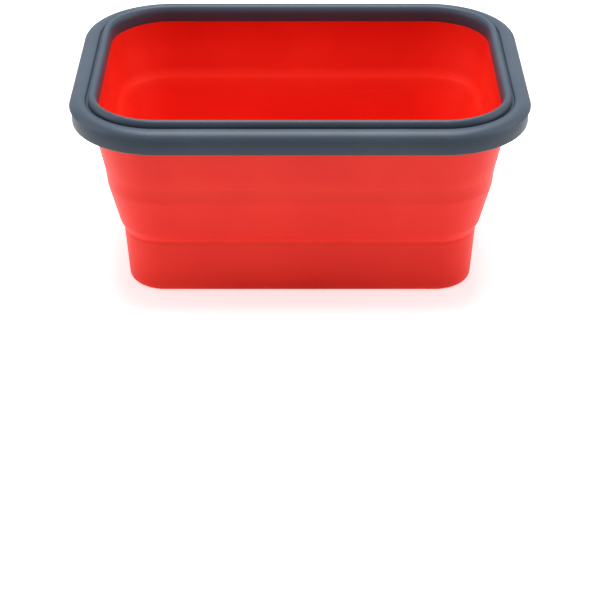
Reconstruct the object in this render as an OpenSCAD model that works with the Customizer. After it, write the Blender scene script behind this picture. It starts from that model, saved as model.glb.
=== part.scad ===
// Collapsible storage crate: a soft silicone body hung in a two-part rigid rim.
// Every wall runs round the same rounded rectangle, so a section drawn once,
// as [inset from the rim's outer edge, height], is swept round all of them.

/* [Plan] */
// Length over the rim
rim_l = 304; // [240:1:380]
// Width over the rim
rim_w = 228; // [180:1:300]
// Radius of the rim's outer corners
corner_r = 60; // [54:1:80]

/* [Heights] */
// Height of the tub, from its foot to the lower fold line
tub_h = 39.5; // [30:0.5:60]
// Height of the folding band between the two fold lines
band_h = 44.5; // [36:0.5:60]
// Height of the upper band, from the upper fold line to the rim
upper_h = 35; // [28:0.5:50]

/* [Silicone body] */
// Thickness of the silicone walls
wall = 2.5; // [1.6:0.1:3]
// Thickness of the tub's floor
floor_t = 3; // [2:0.1:5]
// Inset of the wall's outer face where it leaves the rim
wall_inset = 14.3; // [13.5:0.1:15.5]
// How far the upper band leans in over its height
upper_run = 7.2; // [3:0.1:9]
// How far the folding band steps in over its height
band_run = 12.1; // [11:0.1:15]
// How far the tub's wall leans in over its height
tub_run = 2.3; // [0:0.1:4]
// Radius of the round between the tub's wall and its foot
foot_r = 5; // [3.5:0.5:8]
// Width of the foot that the crate stands on, from the tub's wall inwards
foot_w = 10; // [9:1:16]
// Depth of the recess inside the foot
foot_recess = 0.8; // [0.4:0.1:1.2]

/* [Folding strips] */
// Radial gap between neighbouring strips
strip_gap = 0.35; // [0.3:0.05:0.4]
// How far each strip laps over the one below it
strip_lap = 0.8; // [0:0.1:2]

/* [Rim] */
// Wall thickness of the rigid rings
rim_t = 2.2; // [1.8:0.1:2.6]
// Width of the rim's domed outer band
dome_w = 10.5; // [9.5:0.5:12]
// Height of the domed outer band
dome_h = 6; // [5.5:0.1:8]
// Radius of the dome's crown
dome_r = 20; // [12:1:40]
// Width of the raised bead along the rim's inner edge
bead_w = 7; // [6:0.1:8]
// Height of the bead above the dome
bead_rise = 1.7; // [0.5:0.1:2.5]
// Width of the groove between dome and bead
groove_w = 1; // [0.6:0.1:1.4]
// Depth of the groove
groove_d = 1.2; // [0.6:0.1:1.4]
// Height of the skirt below the dome
skirt_h = 10.8; // [10:0.1:14]
// Inset of the skirt from the dome's edge
skirt_inset = 1.3; // [0.5:0.1:1.6]
// Height of the inner wall below the top of the dome
inner_drop = 10.1; // [9:0.1:10.5]

/* [Clamp] */
// Thickness of the shelf that the flange is clamped on
shelf_t = 2.3; // [1.8:0.1:2.6]
// Radius of the locking posts
post_r = 1.6; // [1.2:0.1:1.8]
// Clearance round each post in the flange and in its socket
post_gap = 0.1; // [0.05:0.05:0.3]
// Wall round each post's socket
socket_t = 1.6; // [1.2:0.1:1.8]
// Number of posts along each long side
posts_long = 5; // [3:1:6]
// Number of posts along each short side
posts_short = 3; // [2:1:4]
// Height of the flange's sealing bead
seal_h = 5.2; // [4:0.1:5.5]
// Gap between faces of the rim that meet without being fixed
face_gap = 0.1; // [0.05:0.05:0.2]

/* [Hidden] */
$fn = 48;

silicone_red = [0.84, 0.10, 0.08];
rim_grey = [0.27, 0.33, 0.39];

// Centres of the corner arcs, which every section is swept round
corner_x = rim_l / 2 - corner_r;
corner_y = rim_w / 2 - corner_r;

// Heights
fold_low_z = tub_h;
fold_high_z = fold_low_z + band_h;
skirt_z = fold_high_z + upper_h;
part_z = skirt_z + skirt_h;                 // plane where the two rings meet
dome_z = part_z + dome_h;
web_z = dome_z - 3.1;                       // underside of the top ring's web
inner_z = dome_z - inner_drop;              // lower edge of the rim's inner wall
flange_top_z = inner_z - face_gap;
shelf_z = flange_top_z - wall;              // top of the clamp ring's shelf

// Insets of the wall's outer face
fold_high_in = wall_inset + upper_run;
fold_low_in = fold_high_in + band_run;
foot_in = fold_low_in + tub_run;
floor_in = foot_in - tub_run * floor_t / tub_h;     // at the top of the floor
function upper_in(z) = fold_high_in - upper_run * (z - fold_high_z) / upper_h;

// Folding strips, counted upwards from the tub
strips = 5;
strip_t = (band_run - wall - (strips + 1) * strip_gap) / strips;
strip_h = band_h / strips;

// Rim
edge_r = 0.6;                               // rounding of the rings' edges
bead_in = dome_w + groove_w;
bead_sink = 0.5;                            // how far the bead's round starts below the dome's top
rim_in = bead_in + bead_w;                  // inset of the rim's inner face
skirt_back = skirt_inset + rim_t;

// Clamp
shelf_in = upper_in(shelf_z) - face_gap;
post_in = shelf_in - post_r - 0.3;
post_top_z = web_z - 0.5;
socket_r = post_r + post_gap + socket_t;
seal_out_in = skirt_back + 1.8;
seal_in_in = post_in - socket_r - face_gap;
collar_h = 1.5;                             // height of the collar's upright face under the rim's inner wall

// Points of an elliptical arc: centre, half axes and the two end angles
function arc(c, rx, rz, a0, a1, n) =
    [for (i = [0 : n]) let (a = a0 + (a1 - a0) * i / n) [c[0] + rx * cos(a), c[1] + rz * sin(a)]];

// Points of a circular arc of radius r from p to q, bulging to the left of the way from p to q
function bow(p, q, r, n) =
    let (d = q - p, l = norm(d), c = (p + q) / 2 + [d[1], -d[0]] / l * sqrt(r * r - l * l / 4),
         a0 = atan2(p[1] - c[1], p[0] - c[0]), a1 = atan2(q[1] - c[1], q[0] - c[0]))
    arc(c, r, r, a0, a1, n);

// The same points the other way round
function back_to_front(points) = [for (i = [len(points) - 1 : -1 : 0]) points[i]];

// Sweeps a section of [inset, height] points round the rounded rectangle
module sweep_section(section) {
    outline = [for (p = section) [corner_r - p[0], p[1]]];
    for (i = [0 : 3])
        translate([(i == 0 || i == 3 ? 1 : -1) * corner_x, (i < 2 ? 1 : -1) * corner_y, 0])
            rotate([0, 0, 90 * i]) {
                rotate_extrude(angle = 90) polygon(outline);
                rotate([90, 0, 0]) linear_extrude(2 * (i % 2 == 0 ? corner_y : corner_x)) polygon(outline);
            }
}

// A flat rounded rectangle, inset from the rim's outer edge
module plate(inset, h) {
    r = corner_r - inset;
    linear_extrude(h) {
        square([2 * corner_x, 2 * (corner_y + r)], center = true);
        square([2 * (corner_x + r), 2 * corner_y], center = true);
        for (x = [-1, 1], y = [-1, 1])
            translate([x * corner_x, y * corner_y]) circle(r);
    }
}

// Places its children at every locking post: along the sides and in the corners
module at_posts() {
    r = corner_r - post_in;
    for (side = [-1, 1]) {
        for (i = [0 : posts_long - 1])
            translate([corner_x * (2 * i / (posts_long - 1) - 1), side * (corner_y + r), 0]) children();
        for (i = [1 : posts_short])
            translate([side * (corner_x + r), corner_y * (2 * i / (posts_short + 1) - 1), 0]) children();
        for (end = [-1, 1])
            translate([side * (corner_x + r * cos(45)), end * (corner_y + r * sin(45)), 0]) children();
    }
}

// Upper ring of the rim: domed band, groove and raised bead, hollow underneath, with the posts' sockets
module rim_top_ring() {
    section = concat(
        [[rim_t, part_z], [edge_r / 2, part_z]],
        bow([0, part_z + edge_r / 2], [dome_w, dome_z], dome_r, 10),
        [[dome_w + groove_w / 2, dome_z - groove_d]],
        arc([bead_in + bead_w / 2, dome_z - bead_sink], bead_w / 2, bead_rise + bead_sink, 180, 0, 14),
        arc([rim_in - edge_r, inner_z + edge_r], edge_r, edge_r, 0, -90, 2),
        [[rim_in - rim_t, inner_z], [rim_in - rim_t, web_z]],
        back_to_front(bow([rim_t, part_z], [dome_w, web_z], dome_r, 6)));
    color(rim_grey) difference() {
        union() {
            sweep_section(section);
            at_posts() translate([0, 0, inner_z]) cylinder(r = socket_r, h = web_z - inner_z + 1);
        }
        at_posts() translate([0, 0, flange_top_z])
            cylinder(r = post_r + post_gap, h = post_top_z + post_gap - flange_top_z);
    }
}

// Lower ring of the rim: skirt and the shelf that clamps the flange, with its locking posts
module rim_clamp_ring() {
    section = concat(
        arc([skirt_inset + edge_r, skirt_z + edge_r], edge_r, edge_r, 180, 270, 3),
        [[skirt_back, skirt_z], [skirt_back, shelf_z - shelf_t], [shelf_in, shelf_z - shelf_t],
         [shelf_in, shelf_z], [skirt_back, shelf_z],
         [skirt_back, part_z - face_gap], [skirt_inset, part_z - face_gap]]);
    color(rim_grey) union() {
        sweep_section(section);
        at_posts() translate([0, 0, shelf_z - shelf_t / 2])
            cylinder(r = post_r, h = post_top_z - shelf_z + shelf_t / 2);
    }
}

// Edge of the silicone body, gripped between the rings: sealing bead, flange and collar, with the posts' holes
module body_flange() {
    section = [[seal_out_in, shelf_z], [upper_in(shelf_z) + wall, shelf_z],
               [rim_in, flange_top_z - collar_h], [rim_in, flange_top_z], [seal_in_in, flange_top_z],
               [seal_in_in - 0.3, shelf_z + seal_h], [seal_out_in + 0.3, shelf_z + seal_h]];
    color(silicone_red) difference() {
        sweep_section(section);
        at_posts() translate([0, 0, shelf_z - 1]) cylinder(r = post_r + post_gap, h = wall + 2);
    }
}

// Silicone wall from the flange down to the upper fold line
module upper_band() {
    color(silicone_red) sweep_section(
        [[upper_in(shelf_z), shelf_z], [fold_high_in, fold_high_z],
         [fold_high_in + wall, fold_high_z], [upper_in(shelf_z) + wall, shelf_z]]);
}

// One strip of the folding band: the strips stand inside each other, so they pass as the crate folds
module fold_strip(k) {
    outer_in = fold_low_in - k * (strip_t + strip_gap);
    bottom = fold_low_z + (k - 1) * strip_h - strip_lap;
    top = fold_low_z + k * strip_h + (k == strips ? strip_lap : 0);
    color(silicone_red) sweep_section(
        [[outer_in, bottom], [outer_in, top], [outer_in + strip_t, top], [outer_in + strip_t, bottom]]);
}

// Silicone wall of the tub, above its floor
module tub_wall() {
    color(silicone_red) sweep_section(
        [[fold_low_in, fold_low_z], [fold_low_in + wall, fold_low_z],
         [floor_in + wall, floor_t], [floor_in, floor_t]]);
}

// Floor of the tub, with a rounded edge and a foot that keeps the middle clear of the table
module tub_floor() {
    a = 180 + asin((foot_r - floor_t) / foot_r);    // angle at which the round meets the wall
    c = [floor_in - foot_r * cos(a), foot_r];
    color(silicone_red) union() {
        sweep_section(concat([[floor_in + foot_w, floor_t]], arc(c, foot_r, foot_r, a, 270, 6),
                             [[floor_in + foot_w, 0]]));
        translate([0, 0, foot_recess]) plate(floor_in + foot_w, floor_t - foot_recess);
    }
}

rim_top_ring();
rim_clamp_ring();
body_flange();
upper_band();
fold_strip(1);  // fold_strip_1
fold_strip(2);  // fold_strip_2
fold_strip(3);  // fold_strip_3
fold_strip(4);  // fold_strip_4
fold_strip(5);  // fold_strip_5
tub_wall();
tub_floor();
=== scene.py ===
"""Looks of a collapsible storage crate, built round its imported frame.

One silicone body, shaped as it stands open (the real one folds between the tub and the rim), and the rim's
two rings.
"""

import math

import bpy
from mathutils import Matrix, Vector


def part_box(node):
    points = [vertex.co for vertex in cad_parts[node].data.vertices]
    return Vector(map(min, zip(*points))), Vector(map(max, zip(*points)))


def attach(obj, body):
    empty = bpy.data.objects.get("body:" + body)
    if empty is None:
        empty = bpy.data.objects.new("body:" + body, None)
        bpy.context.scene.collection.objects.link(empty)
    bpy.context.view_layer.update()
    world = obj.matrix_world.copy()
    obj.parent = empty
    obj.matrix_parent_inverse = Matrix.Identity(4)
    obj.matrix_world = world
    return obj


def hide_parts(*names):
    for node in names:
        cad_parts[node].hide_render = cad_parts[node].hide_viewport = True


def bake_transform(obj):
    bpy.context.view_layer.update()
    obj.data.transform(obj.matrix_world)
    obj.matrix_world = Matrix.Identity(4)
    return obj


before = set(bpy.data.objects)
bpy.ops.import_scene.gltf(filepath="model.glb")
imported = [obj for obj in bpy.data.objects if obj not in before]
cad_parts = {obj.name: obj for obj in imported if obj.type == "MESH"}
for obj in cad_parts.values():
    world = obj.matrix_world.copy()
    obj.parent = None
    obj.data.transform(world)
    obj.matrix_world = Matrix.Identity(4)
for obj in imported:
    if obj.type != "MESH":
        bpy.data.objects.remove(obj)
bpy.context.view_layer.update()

bl_info = {
    "name": "Collapsible crate",
    "version": (1, 0, 0),
    "blender": (4, 5, 0),
    "location": "3D View > Sidebar > Crate",
    "description": "Builds a silicone folding crate with a rigid rim round its frame",
    "category": "Object",
}

MM = 0.001

RIM_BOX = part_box("rim_top_ring")
CLAMP_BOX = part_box("rim_clamp_ring")
FLANGE_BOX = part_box("body_flange")
UPPER_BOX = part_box("upper_band")
TUB_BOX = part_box("tub_wall")
FLOOR_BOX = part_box("tub_floor")
STRIPS = [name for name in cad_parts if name.startswith("fold_strip")]


def length(name, text, default):
    """A size that a user may change, in metres."""
    return bpy.props.FloatProperty(name=name, description=text, default=default, unit="LENGTH",
                                   subtype="DISTANCE", precision=4)


def colour(name, text, default):
    """A colour that a user may change."""
    return bpy.props.FloatVectorProperty(name=name, description=text, default=default, size=3, min=0,
                                         max=1, subtype="COLOR")


def power(name, text, default):
    """The power of a light, in watts."""
    return bpy.props.FloatProperty(name=name, description=text, default=default, min=0, unit="POWER")


class CrateSizes(bpy.types.PropertyGroup):
    """Sizes of the crate's skin and sections that the frame doesn't give."""

    corner_radius: length("Corner radius", "Radius of the rim's outer corners", 0.060)
    wall: length("Wall", "Thickness of the silicone walls", 0.0025)
    fold_wall: length("Fold wall", "Thickness of the silicone at the lower fold line", 0.0020)
    thickest: length("Thickest wall", "The most that the silicone's wall may measure", 0.0090)
    lip: length("Lip", "Inset of the folding band's inner face at the upper fold line", 0.0250)
    lip_lean: bpy.props.FloatProperty(
        name="Lip lean", description="How far that face leans in, as a share of its height", default=0.25)
    floor: length("Floor", "Thickness of the tub's floor at its foot", 0.0030)
    recess: length("Recess", "Height of the recess inside the foot", 0.0008)
    foot_width: length("Foot width", "Width of the foot, from the tub's wall inwards", 0.010)
    foot_round: length("Foot round", "Radius between the tub's wall and its foot", 0.005)
    notch: length("Notch", "Depth of the lower fold line's notch", 0.0003)
    roll: length("Roll", "Height of the folding band's rolled edge over the lower fold line", 0.0062)
    tub_ease: length("Tub ease", "How far the tub's skin lies outside its solid", 0.0010)
    neck: length("Neck", "Inset of the skin's inner face where it meets the rim", 0.01845)
    knee: length("Knee", "Height of the steep stretch below the upper fold line", 0.0105)
    ring_wall: length("Ring wall", "Wall thickness of the rim's rings", 0.0022)
    dome_width: length("Dome width", "Width of the rim's domed outer band", 0.0105)
    dome_height: length("Dome height", "Height of the dome's inner edge above the parting line", 0.0039)
    dome_radius: length("Dome radius", "Radius of the dome's crown", 0.0075)
    dome_edge: length("Dome edge", "Height of the dome's upright outer edge", 0.0006)
    bead_width: length("Bead width", "Width of the bead along the rim's inner edge", 0.0062)
    bead_rise: length("Bead rise", "Height of the bead above the dome's inner edge", 0.0038)
    groove_width: length("Groove width", "Width of the groove between dome and bead", 0.0018)
    groove_depth: length("Groove depth", "Depth of the groove", 0.0016)
    web: length("Web", "Depth of the upper ring's hollow below the dome's inner edge", 0.0026)
    shelf: length("Shelf", "Thickness of the shelf that the flange lies on", 0.0023)
    post_radius: length("Post radius", "Radius of the locking posts", 0.0016)
    socket_wall: length("Socket wall", "Wall round each post's socket", 0.0016)
    play: length("Play", "Gap between parts that meet", 0.0001)
    posts_long: bpy.props.IntProperty(
        name="Posts, long side", description="Posts along each long side", default=5, min=2, max=8)
    posts_short: bpy.props.IntProperty(
        name="Posts, short side", description="Posts along each short side", default=3, min=1, max=6)
    corner_steps: bpy.props.IntProperty(
        name="Corner steps", description="Faces round each corner", default=18, min=6, max=48)
    side_step: length("Side step", "Longest face along a straight side", 0.012)


class CrateColours(bpy.types.PropertyGroup):
    """Colours of the crate and of the floor under it."""

    silicone: colour("Silicone", "Colour of the silicone body", (0.79, 0.020, 0.008))
    silicone_deep: colour("Silicone, deep", "Colour where the silicone's pigment lies thicker",
                          (0.74, 0.015, 0.006))
    # Paler red along the fold lines: a painted highlight where the folds catch the light.
    silicone_fold_highlight: colour("Silicone, folds", "Colour along the silicone's fold lines",
                          (0.82, 0.030, 0.012))
    rim: colour("Rim", "Colour of the rim's plastic", (0.034, 0.050, 0.074))
    rim_pale: colour("Rim, pale", "Colour where the rim's pigment is paler", (0.040, 0.058, 0.084))
    floor: colour("Studio floor", "Colour of the floor", (0.80, 0.80, 0.80))


class CrateStage(bpy.types.PropertyGroup):
    """The camera and the lights."""

    elevation: bpy.props.FloatProperty(
        name="Elevation", description="Height of the camera over the rim",
        default=math.radians(23.45), subtype="ANGLE")
    distance: length("Distance", "From the camera to the middle of the rim", 1.3064)
    aim_drop: bpy.props.FloatProperty(
        name="Aim", description="How far below the rim's middle the camera looks",
        default=math.radians(6.98), subtype="ANGLE")
    lens: bpy.props.FloatProperty(
        name="Lens", description="Focal length", default=113.88, unit="CAMERA")
    room: bpy.props.FloatProperty(
        name="Room light", description="Strength of the room's light", default=0.15)
    glow: bpy.props.FloatProperty(
        name="Floor glow", description="How much light the floor gives off round the crate", default=0.85)
    glow_start: length("Glow's start", "Where that light is full, from the crate's middle", 0.20)
    glow_fade: length("Glow's fade", "Where it begins to fade", 0.15)
    glow_end: length("Glow's end", "Where it has faded out", 0.50)
    key: power("Top light", "Power of the light overhead", 32)
    side: power("Side lights", "Power of the light on each side", 4)
    front: power("Front light", "Power of the light by the camera", 0.3)


# ---------------------------------------------------------------- sections


def turn_corner(before, here, after, radius, steps):
    """The arc that rounds a section's corner, from one leg to the other."""
    to_before = (before - here).normalized()
    to_after = (after - here).normalized()
    half = to_before.angle(to_after) / 2
    centre = here + (to_before + to_after).normalized() * (radius / math.sin(half))
    first = here + to_before * (radius / math.tan(half)) - centre
    last = here + to_after * (radius / math.tan(half)) - centre
    start = math.atan2(first.y, first.x)
    sweep = (math.atan2(last.y, last.x) - start + math.pi) % (2 * math.pi) - math.pi
    angles = [start + sweep * i / steps for i in range(steps + 1)]
    return [centre + radius * Vector((math.cos(a), math.sin(a))) for a in angles]


def rounded_section(corners, steps=4, closed=False):
    """Points of a section from its corners, each (inset, height) or (inset, height, radius)."""
    points = []
    places = [Vector(c[:2]) for c in corners]
    for i, corner in enumerate(corners):
        is_end = not closed and i in (0, len(corners) - 1)
        if is_end or len(corner) == 2:
            points.append(places[i])
        else:
            points += turn_corner(places[i - 1], places[i], places[(i + 1) % len(places)], corner[2], steps)
    return points


def bow(start, end, radius, steps):
    """Points of an arc from start to end that bulges to the left of the way there."""
    start, end = Vector(start), Vector(end)
    way = end - start
    lift = math.sqrt(radius * radius - way.length_squared / 4)
    centre = (start + end) / 2 + Vector((way.y, -way.x)).normalized() * lift
    first = math.atan2(start.y - centre.y, start.x - centre.x)
    sweep = math.atan2(end.y - centre.y, end.x - centre.x) - first
    angles = [first + sweep * i / steps for i in range(steps + 1)]
    return [centre + radius * Vector((math.cos(a), math.sin(a))) for a in angles]


def half_round(start, end, rise, steps):
    """Points of a half ellipse that rises over the level line from start to end."""
    middle = (Vector(start) + Vector(end)) / 2
    reach = (end[0] - start[0]) / 2
    angles = [math.pi * (1 - i / steps) for i in range(steps + 1)]
    return [middle + Vector((reach * math.cos(a), rise * math.sin(a))) for a in angles]


def fine_steps(points, longest):
    """The same section with no two points further apart than longest(height)."""
    fine = [points[0]]
    for p, q in zip(points, points[1:]):
        n = max(1, math.ceil((q - p).length / longest((p.y + q.y) / 2)))
        fine += [p.lerp(q, (i + 1) / n) for i in range(n)]
    return fine


def smooth(value, start, end):
    """0 at start, 1 at end, and smooth between; end may lie below start."""
    share = min(1.0, max(0.0, (value - start) / (end - start)))
    return share * share * (3 - 2 * share)


def larger(first, second, ease):
    """The larger of two values, eased where they cross."""
    return (first + second + math.hypot(first - second, ease)) / 2


def inset_of(box):
    """How far a CAD node's widest place lies inside the rim's outer edge."""
    return RIM_BOX[1].x - box[1].x


def silicone_section(s):
    """Outer face of the silicone body, from the middle of its floor up to its flange."""
    low, high, top = TUB_BOX[1].z, UPPER_BOX[0].z, FLANGE_BOX[1].z - s.play
    low_in = inset_of(TUB_BOX) - s.tub_ease
    high_in = inset_of(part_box("fold_strip_5")) - s.wall - 0.35 * MM
    lean = (high_in - inset_of(UPPER_BOX)) / (UPPER_BOX[1].z - high)
    top_in = high_in - lean * (top - high)
    floor_in = inset_of(FLOOR_BOX) - s.tub_ease
    foot_in = floor_in + (floor_in - low_in) * FLOOR_BOX[1].z / (low - FLOOR_BOX[1].z)
    foot_inner = floor_in + s.foot_width
    knee_in = high_in + 0.11 * s.knee
    corners = [
        (foot_inner + 12 * MM, s.recess),
        (foot_inner + 0.6 * MM, s.recess, 0.3 * MM),
        (foot_inner, 0, 0.4 * MM),
        (foot_in, 0, s.foot_round),
        (low_in - 0.1 * MM, low - 2.4 * MM, 0.8 * MM),
        (low_in + s.notch, low, 0.6 * MM),
        (low_in - 2.8 * MM, low + s.roll, 2.5 * MM),
        (knee_in, high - s.knee, 9 * MM),
        (high_in, high, 6 * MM),
        (top_in, top),
    ]
    points = rounded_section(corners, steps=6)
    return fine_steps(points, lambda z: 1.0 * MM if low - 5 * MM < z < high + 3 * MM else 4 * MM)


def upper_ring_section(s):
    """Section of the upper ring: dome, groove, bead and inner wall, hollow underneath."""
    dome = RIM_BOX[1].z - s.bead_rise
    part = dome - s.dome_height
    web = dome - s.web
    inner = RIM_BOX[0].z
    bead = s.dome_width + s.groove_width
    inside = bead + s.bead_width
    back = inside - s.ring_wall
    crown = bow((0, part + s.dome_edge), (s.dome_width, dome), s.dome_radius, 14)
    hollow = bow((s.ring_wall, part + 0.3 * MM), (s.dome_width, web), s.dome_radius, 8)
    base = dome - s.groove_depth
    corners = [(0, part, 0.3 * MM)]
    corners += [tuple(p) for p in crown[:-1]]
    corners += [(s.dome_width, dome, 0.3 * MM), (s.dome_width + s.groove_width / 2, base, 0.25 * MM)]
    round_bead = half_round((bead, base), (inside, base), s.bead_rise + s.groove_depth, 22)
    corners += [tuple(p) for p in round_bead]
    corners += [(inside, inner, 0.6 * MM), (back, inner, 0.3 * MM), (back, web, 0.5 * MM)]
    corners += [tuple(p) for p in reversed(hollow[1:])]
    corners += [(s.ring_wall, part, 0.2 * MM)]
    return rounded_section(corners, closed=True)


def lower_ring_section(s):
    """Section of the lower ring: the skirt, and the shelf inside it that carries the flange."""
    skirt = CLAMP_BOX[0].z
    part = RIM_BOX[1].z - s.bead_rise - s.dome_height - s.play
    shelf = UPPER_BOX[1].z
    outside = inset_of(CLAMP_BOX)
    inside = outside + s.ring_wall
    reach = inset_of(UPPER_BOX) - s.play
    return rounded_section([
        (outside, skirt, 1.2 * MM), (inside, skirt, 0.6 * MM),
        (inside, shelf - s.shelf, 0.4 * MM), (reach, shelf - s.shelf, 0.4 * MM),
        (reach, shelf, 0.2 * MM), (inside, shelf, 0.2 * MM),
        (inside, part, 0.3 * MM), (outside, part, 0.4 * MM),
    ], closed=True)


# ---------------------------------------------------------------- modelling


def one_vertex(name, place):
    """A new object whose mesh is one selected vertex, left in edit mode."""
    bpy.ops.object.select_all(action="DESELECT")
    bpy.ops.mesh.primitive_plane_add(size=MM, location=(0, 0, 0))
    piece = bpy.context.object
    piece.name = name
    piece.data.name = name
    bpy.ops.object.mode_set(mode="EDIT")
    bpy.ops.mesh.select_mode(type="VERT")
    bpy.ops.mesh.select_all(action="SELECT")
    bpy.ops.mesh.merge(type="CENTER")
    bpy.ops.transform.translate(value=place)
    return piece


def draw_points(name, places):
    """Draws a chain of vertices, one after another, and selects all of it."""
    piece = one_vertex(name, places[0])
    for here, there in zip(places, places[1:]):
        bpy.ops.mesh.extrude_vertices_move(TRANSFORM_OT_translate={"value": there - here})
    bpy.ops.mesh.select_all(action="SELECT")
    return piece


def sweep_round(section, s, name, closed=False):
    """Sweeps a section round the crate's rounded rectangle: along a side and round a corner, four times."""
    x = RIM_BOX[1].x - s.corner_radius
    y = RIM_BOX[1].y - s.corner_radius
    if closed:
        section = section + [section[0]]
    piece = draw_points(name, [Vector((RIM_BOX[1].x - p.x, -y, p.y)) for p in section])
    sides = [((0, 2 * y, 0), (x, y, 0)), ((-2 * x, 0, 0), (-x, y, 0)),
             ((0, -2 * y, 0), (-x, -y, 0)), ((2 * x, 0, 0), (x, -y, 0))]
    for way, corner in sides:
        steps = math.ceil(Vector(way).length / s.side_step)
        for _ in range(steps):
            bpy.ops.mesh.extrude_region_move(TRANSFORM_OT_translate={"value": Vector(way) / steps})
        bpy.ops.mesh.spin(steps=s.corner_steps, angle=-math.pi / 2, center=corner, axis=(0, 0, 1))
    bpy.ops.mesh.select_all(action="SELECT")
    bpy.ops.mesh.remove_doubles(threshold=0.01 * MM)
    return piece


def finish_shape(piece, sharp=math.radians(40)):
    """Turns every face outwards, leaves edit mode and smooths all but the edges sharper than that."""
    bpy.ops.mesh.select_all(action="SELECT")
    bpy.ops.mesh.normals_make_consistent(inside=False)
    bpy.ops.object.mode_set(mode="OBJECT")
    bpy.ops.object.shade_smooth_by_angle(angle=sharp)
    return piece


def close_floor(piece, height):
    """Fills the open middle of the floor with one face."""
    bpy.ops.mesh.select_all(action="DESELECT")
    bpy.ops.mesh.select_mode(type="EDGE")
    bpy.ops.mesh.select_non_manifold(extend=False, use_boundary=True, use_wire=False, use_multi_face=False,
                                     use_non_contiguous=False, use_verts=False)
    bpy.ops.object.mode_set(mode="OBJECT")
    for edge in piece.data.edges:
        if piece.data.vertices[edge.vertices[0]].co.z > height:
            edge.select = False
    bpy.ops.object.mode_set(mode="EDIT")
    bpy.ops.mesh.edge_face_add()
    bpy.ops.mesh.select_mode(type="VERT")


def post_places(s):
    """Where the locking posts stand: along each side, and one in each corner."""
    x = RIM_BOX[1].x - s.corner_radius
    y = RIM_BOX[1].y - s.corner_radius
    r = s.corner_radius - (inset_of(UPPER_BOX) - s.play - s.post_radius - 0.3 * MM)
    places = []
    for side in (-1, 1):
        places += [(x * (2 * i / (s.posts_long - 1) - 1), side * (y + r)) for i in range(s.posts_long)]
        places += [(side * (x + r), y * (2 * i / (s.posts_short + 1) - 1))
                   for i in range(1, s.posts_short + 1)]
        places += [(side * (x + r * math.sqrt(0.5)), end * (y + r * math.sqrt(0.5))) for end in (-1, 1)]
    return places


def turned(name, outline, steps=24):
    """A turned shape round the Z axis from its outline of (radius, height) points."""
    draw_points(name, [Vector((r, 0, z)) for r, z in outline])
    bpy.ops.mesh.spin(steps=steps, angle=-2 * math.pi, center=(0, 0, 0), axis=(0, 0, 1))
    bpy.ops.mesh.select_all(action="SELECT")
    bpy.ops.mesh.remove_doubles(threshold=0.01 * MM)
    return finish_shape(bpy.context.object)


def copies_joined(piece, pattern, places):
    """Copies a small shape to each place and joins the copies to the piece."""
    for x, y in places:
        copy = pattern.copy()
        copy.data = pattern.data.copy()
        copy.data.transform(Matrix.Translation((x, y, 0)))
        bpy.context.scene.collection.objects.link(copy)
        copy.select_set(True)
    bpy.data.objects.remove(pattern)
    piece.select_set(True)
    bpy.context.view_layer.objects.active = piece
    bpy.ops.object.join()


# ---------------------------------------------------------------- materials


class Wire:
    """A value on its way through a material. Sums and products of wires add Math nodes."""

    def __init__(self, finish, socket):
        self.finish = finish
        self.socket = socket

    def math(self, operation, first, second):
        return self.finish.node("ShaderNodeMath", {"operation": operation}, {0: first, 1: second})

    def __add__(self, other):
        return self.math("ADD", self, other)

    __radd__ = __add__

    def __sub__(self, other):
        return self.math("SUBTRACT", self, other)

    def __rsub__(self, other):
        return self.math("SUBTRACT", other, self)

    def __mul__(self, other):
        return self.math("MULTIPLY", self, other)

    __rmul__ = __mul__


class Finish:
    """A material under construction, from its texture coordinates to its output."""

    def __init__(self, name):
        self.material = bpy.data.materials.new(name)
        self.material.use_nodes = True
        self.tree = self.material.node_tree
        self.tree.nodes.clear()
        self.place = self.node("ShaderNodeTexCoord", output="Object")

    def node(self, kind, settings=None, inputs=None, output=0):
        """Adds a node, sets it up, connects its inputs and returns one of its outputs."""
        made = self.tree.nodes.new(kind)
        for key, value in (settings or {}).items():
            setattr(made, key, value)
        for key, value in (inputs or {}).items():
            if isinstance(value, Wire):
                self.tree.links.new(value.socket, made.inputs[key])
            else:
                made.inputs[key].default_value = value
        return Wire(self, made.outputs[output]) if made.outputs else None

    def noise(self, scale, detail=2.0, roughness=0.5):
        """Soft noise from 0 to 1, with that many lumps to a metre."""
        return self.node("ShaderNodeTexNoise", None,
                         {"Vector": self.place, "Scale": scale, "Detail": detail, "Roughness": roughness})

    def between(self, value, low, high):
        """0 below low, 1 above high, and smooth between."""
        return self.node("ShaderNodeMapRange", {"interpolation_type": "SMOOTHSTEP"},
                         {"Value": value, "From Min": low, "From Max": high})

    def mix(self, share, first, second):
        """A colour between two colours."""
        return self.node("ShaderNodeMix", {"data_type": "RGBA"},
                         {0: share, 6: (*first, 1) if not isinstance(first, Wire) else first,
                          7: (*second, 1) if not isinstance(second, Wire) else second}, output=2)

    def bumps(self, layers):
        """A normal with each (height, depth in metres) laid on the one before."""
        normal = None
        for height, depth in layers:
            inputs = {"Height": height, "Distance": depth}
            if normal:
                inputs["Normal"] = normal
            normal = self.node("ShaderNodeBump", None, inputs)
        return normal

    def finish(self, shader):
        self.node("ShaderNodeOutputMaterial", None, {"Surface": shader})
        return self.material


def colours():
    return bpy.context.scene.crate_colours


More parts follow.
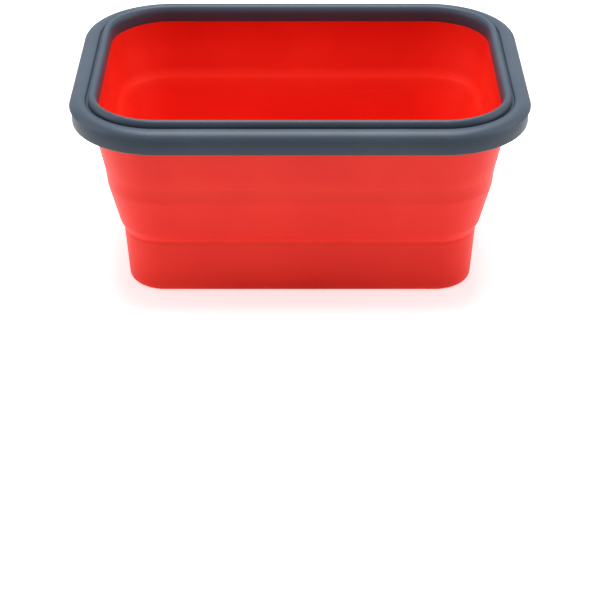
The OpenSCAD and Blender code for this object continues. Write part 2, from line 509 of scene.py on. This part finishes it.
def silicone_finish():
    """Satin moulded silicone: a little light passes into it, and it shows faint flow and fine grain, with a
    painted highlight along its fold lines.
    """
    c = colours()
    f = Finish("silicone")
    flow = f.noise(14, 3)
    grain = f.noise(1500, 2)
    smears = f.noise(45, 4, 0.6)
    fold = f.node("ShaderNodeAttribute", {"attribute_name": "fold"}, output="Fac")
    base = f.mix(f.between(flow, 0.35, 0.65), tuple(c.silicone), tuple(c.silicone_deep))
    # The fold share mixes in a paler red: a painted highlight along the fold lines.
    base = f.mix(fold * 0.5, base, tuple(c.silicone_fold_highlight))
    return f.finish(f.node("ShaderNodeBsdfPrincipled", {"subsurface_method": "RANDOM_WALK"}, {
        "Base Color": base,
        "Roughness": 0.40 + smears * 0.10 + grain * 0.04,
        "IOR": 1.41,
        "Specular IOR Level": 0.28,
        "Subsurface Weight": 0.12,
        "Subsurface Radius": (1.0, 0.12, 0.06),
        "Subsurface Scale": 0.003,
        "Normal": f.bumps([(flow, 0.06 * MM), (smears, 0.02 * MM), (grain, 0.006 * MM)]),
    }))


def rim_finish():
    """Satin moulded plastic with a fine even texture and slightly uneven pigment."""
    c = colours()
    f = Finish("rim_plastic")
    pigment = f.noise(20, 3)
    grain = f.noise(2200, 2)
    smears = f.noise(60, 4, 0.6)
    base = f.mix(f.between(pigment, 0.35, 0.65), tuple(c.rim), tuple(c.rim_pale))
    return f.finish(f.node("ShaderNodeBsdfPrincipled", None, {
        "Base Color": base,
        "Roughness": 0.36 + smears * 0.10 + grain * 0.05,
        "IOR": 1.49,
        "Specular IOR Level": 0.26,
        "Normal": f.bumps([(smears, 0.01 * MM), (grain, 0.008 * MM)]),
    }))


def floor_finish():
    """A pale floor that the camera sees as white, apart from the crate's shadow on it."""
    f = Finish("studio_floor")
    seen = f.node("ShaderNodeLightPath", output="Is Camera Ray")
    paint = f.node("ShaderNodeBsdfDiffuse", None, {"Color": (*colours().floor, 1)})
    white = (1, 1, 1, 1)
    shown = f.node("ShaderNodeEmission", None, {"Color": white, "Strength": 0.62})
    shown = f.node("ShaderNodeAddShader", None, {0: paint, 1: shown})
    stage = bpy.context.scene.crate_stage
    far = f.node("ShaderNodeVectorMath", {"operation": "LENGTH"}, {0: f.place}, output="Value")
    ring = f.between(far, 0, stage.glow_start) * (1 - f.between(far, stage.glow_fade, stage.glow_end))
    pool = f.mix(ring, (0, 0, 0), (stage.glow,) * 3)
    glow = f.node("ShaderNodeEmission", None, {"Color": pool, "Strength": 1})
    lit = f.node("ShaderNodeAddShader", None, {0: paint, 1: glow})
    return f.finish(f.node("ShaderNodeMixShader", None, {0: seen, 1: lit, 2: shown}))


# ---------------------------------------------------------------- operators


class CRATE_OT_camera(bpy.types.Operator):
    """Place the camera that looks at the crate from the front and above"""

    bl_idname = "crate.camera"
    bl_label = "Camera"

    def execute(self, context):
        stage = context.scene.crate_stage
        rim_middle = Vector((0, 0, RIM_BOX[1].z - 6.5 * MM))
        away = Vector((0, -math.cos(stage.elevation), math.sin(stage.elevation)))
        tilt = math.pi / 2 - stage.elevation - stage.aim_drop
        bpy.ops.object.camera_add(location=rim_middle + away * stage.distance, rotation=(tilt, 0, 0))
        context.object.data.lens = stage.lens
        context.scene.camera = context.object
        return {"FINISHED"}


class CRATE_OT_stage(bpy.types.Operator):
    """Lay the floor, hang the lights and set the room's light"""

    bl_idname = "crate.stage"
    bl_label = "Stage"

    def execute(self, context):
        bpy.ops.object.select_all(action="DESELECT")
        bpy.ops.mesh.primitive_plane_add(size=12, location=(0, 0, FLOOR_BOX[0].z - 0.2 * MM))
        floor = context.object
        floor.name = "studio_floor"
        floor.data.materials.append(floor_finish())
        stage = context.scene.crate_stage
        middle = Vector((0, 0, RIM_BOX[1].z / 2))
        self.softbox("top_light", Vector((0, 0.20, 1.34)), middle, 1.0, stage.key)
        self.softbox("left_light", Vector((-1.1, -0.1, 0.45)), middle, 0.7, stage.side)
        self.softbox("right_light", Vector((1.1, -0.1, 0.45)), middle, 0.7, stage.side)
        self.softbox("front_light", Vector((0, -1.3, 0.75)), middle, 0.8, stage.front)
        self.room(context.scene, stage.room)
        context.scene.view_settings.view_transform = "Standard"
        return {"FINISHED"}

    def softbox(self, name, place, target, size, watts):
        """A square light that points at the crate."""
        turn = (place - target).to_track_quat("Z", "Y").to_euler()
        bpy.ops.object.light_add(type="AREA", location=place, rotation=turn)
        lamp = bpy.context.object
        lamp.name = name
        lamp.data.size = size
        lamp.data.energy = watts

    def room(self, scene, strength):
        """A dim even room, which shows as white to the camera and in gloss."""
        world = bpy.data.worlds.new("room")
        scene.world = world
        world.use_nodes = True
        tree = world.node_tree
        rays = tree.nodes.new("ShaderNodeLightPath")
        seen = rays.outputs["Is Camera Ray"]
        for kind in ("Is Glossy Ray", "Is Transmission Ray"):
            either = tree.nodes.new("ShaderNodeMath")
            either.operation = "MAXIMUM"
            tree.links.new(seen, either.inputs[0])
            tree.links.new(rays.outputs[kind], either.inputs[1])
            seen = either.outputs[0]
        level = tree.nodes.new("ShaderNodeMapRange")
        level.inputs["To Min"].default_value = strength
        level.inputs["To Max"].default_value = 1.0
        tree.links.new(seen, level.inputs["Value"])
        background = tree.nodes["Background"]
        background.inputs["Color"].default_value = (1, 1, 1, 1)
        tree.links.new(level.outputs[0], background.inputs["Strength"])


class CRATE_OT_silicone_body(bpy.types.Operator):
    """Model the soft body as one skin, as it stands open; the real one folds between the tub and the rim"""

    bl_idname = "crate.silicone_body"
    bl_label = "Silicone body"

    def execute(self, context):
        s = context.scene.crate_sizes
        body = sweep_round(silicone_section(s), s, "silicone_body")
        close_floor(body, FLOOR_BOX[1].z)
        finish_shape(body, sharp=math.radians(60))
        self.set_thickness(body, s)
        body.data.materials.append(context.scene.crate_silicone)
        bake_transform(body)
        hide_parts("upper_band", "tub_wall", "tub_floor", *STRIPS)
        return {"FINISHED"}

    def set_thickness(self, body, s):
        """Gives the skin its wall: thin at the lower fold line, with a straight face inside the band."""
        low, high = TUB_BOX[1].z, UPPER_BOX[0].z
        wall = body.vertex_groups.new(name="wall")
        folds = []
        dip_reach = 3 * MM
        crest_reach = 5 * MM
        ledge_top = high + 4.5 * MM
        ledge_foot = high - MM
        taper_top = low + 2 * MM
        taper_foot = low - 6 * MM
        for vertex in body.data.vertices:
            z = vertex.co.z
            dip = math.exp(-((z - low) / dip_reach) ** 2)
            thick = s.wall - (s.wall - s.fold_wall) * dip
            band = s.lip + s.lip_lean * (high - z) - inset_at(vertex.co, s)
            share = smooth(z, ledge_top, ledge_foot) * smooth(z, taper_foot, taper_top)
            thick += (larger(band, thick, MM) - thick) * share
            if z > high:
                thick = larger(thick, s.neck - inset_at(vertex.co, s), MM)
            if z < s.foot_round:
                thick = s.floor - min(z, s.recess if self.in_recess(vertex.co, s) else s.floor - s.wall)
            wall.add([vertex.index], thick / s.thickest, "REPLACE")
            # Share of the painted highlight along the fold lines, strongest at the lower fold and the upper
            # crest.
            folds.append(max(dip, math.exp(-((z - high) / crest_reach) ** 2)))
        body.data.attributes.new("fold", "FLOAT", "POINT").data.foreach_set("value", folds)
        shell = body.modifiers.new("wall", "SOLIDIFY")
        shell.thickness = s.thickest
        shell.offset = -1
        shell.use_even_offset = True
        shell.vertex_group = "wall"

    def in_recess(self, place, s):
        """Whether a point of the floor lies inside the foot."""
        return inset_at(place, s) > inset_of(FLOOR_BOX) - s.tub_ease + s.foot_width - 0.01 * MM


def inset_at(place, s):
    """How far a place lies inside the rim's outer edge."""
    x = max(0.0, abs(place.x) - (RIM_BOX[1].x - s.corner_radius))
    y = max(0.0, abs(place.y) - (RIM_BOX[1].y - s.corner_radius))
    if x > 0 and y > 0:
        return s.corner_radius - math.hypot(x, y)
    return min(RIM_BOX[1].x - abs(place.x), RIM_BOX[1].y - abs(place.y))


class CRATE_OT_upper_ring(bpy.types.Operator):
    """Model the rim's upper ring with its sockets"""

    bl_idname = "crate.upper_ring"
    bl_label = "Rim, upper ring"

    def execute(self, context):
        s = context.scene.crate_sizes
        ring = sweep_round(upper_ring_section(s), s, "rim_upper", closed=True)
        finish_shape(ring)
        web = RIM_BOX[1].z - s.bead_rise - s.web
        foot = RIM_BOX[0].z
        bore = s.post_radius + s.play
        wall = bore + s.socket_wall
        socket = turned("socket", [(0, web - s.play), (bore, web - s.play), (bore, foot), (wall, foot),
                                   (wall, web + MM / 2), (0, web + MM / 2)])
        copies_joined(ring, socket, post_places(s))
        ring.data.materials.append(context.scene.crate_rim)
        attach(ring, "rim")
        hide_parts("rim_top_ring")
        return {"FINISHED"}


class CRATE_OT_lower_ring(bpy.types.Operator):
    """Model the rim's lower ring with its locking posts"""

    bl_idname = "crate.lower_ring"
    bl_label = "Rim, lower ring"

    def execute(self, context):
        s = context.scene.crate_sizes
        ring = sweep_round(lower_ring_section(s), s, "rim_lower", closed=True)
        finish_shape(ring)
        foot = UPPER_BOX[1].z - s.shelf / 2
        top = RIM_BOX[1].z - s.bead_rise - s.web - s.play
        r, edge = s.post_radius, 0.3 * MM
        post = turned("post", [(0, foot), (r, foot), (r, top - edge), (r - edge, top), (0, top)])
        copies_joined(ring, post, post_places(s))
        ring.data.materials.append(context.scene.crate_rim)
        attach(ring, "rim")
        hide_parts("rim_clamp_ring")
        return {"FINISHED"}


class CRATE_OT_flange(bpy.types.Operator):
    """Give the clamped edge of the silicone body its finish"""

    bl_idname = "crate.flange"
    bl_label = "Flange"

    def execute(self, context):
        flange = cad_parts["body_flange"]
        flange.data.materials.clear()
        flange.data.materials.append(context.scene.crate_silicone)
        return {"FINISHED"}


class CRATE_PT_panel(bpy.types.Panel):
    """The crate's sizes, colours and pieces"""

    bl_label = "Collapsible crate"
    bl_idname = "CRATE_PT_panel"
    bl_space_type = "VIEW_3D"
    bl_region_type = "UI"
    bl_category = "Crate"

    def draw(self, context):
        layout = self.layout
        for group in (context.scene.crate_sizes, context.scene.crate_colours, context.scene.crate_stage):
            box = layout.box()
            for name in group.__annotations__:
                box.prop(group, name)
        for operator in OPERATORS:
            layout.operator(operator.bl_idname)


OPERATORS = (CRATE_OT_camera, CRATE_OT_stage, CRATE_OT_silicone_body, CRATE_OT_upper_ring,
             CRATE_OT_lower_ring, CRATE_OT_flange)
GROUPS = {"crate_sizes": CrateSizes, "crate_colours": CrateColours, "crate_stage": CrateStage}
FINISHES = {"crate_silicone": silicone_finish, "crate_rim": rim_finish}


def register():
    for made in (*GROUPS.values(), *OPERATORS, CRATE_PT_panel):
        bpy.utils.register_class(made)
    for name, group in GROUPS.items():
        setattr(bpy.types.Scene, name, bpy.props.PointerProperty(type=group))
    for name in FINISHES:
        setattr(bpy.types.Scene, name, bpy.props.PointerProperty(type=bpy.types.Material))


def unregister():
    for name in (*GROUPS, *FINISHES):
        delattr(bpy.types.Scene, name)
    for made in (CRATE_PT_panel, *OPERATORS, *GROUPS.values()):
        bpy.utils.unregister_class(made)


def main():
    register()
    for name, finish in FINISHES.items():
        setattr(bpy.context.scene, name, finish())
    bpy.ops.crate.camera()
    bpy.ops.crate.stage()
    bpy.ops.crate.silicone_body()
    bpy.ops.crate.upper_ring()
    bpy.ops.crate.lower_ring()
    bpy.ops.crate.flange()


if __name__ == "__main__":
    main()
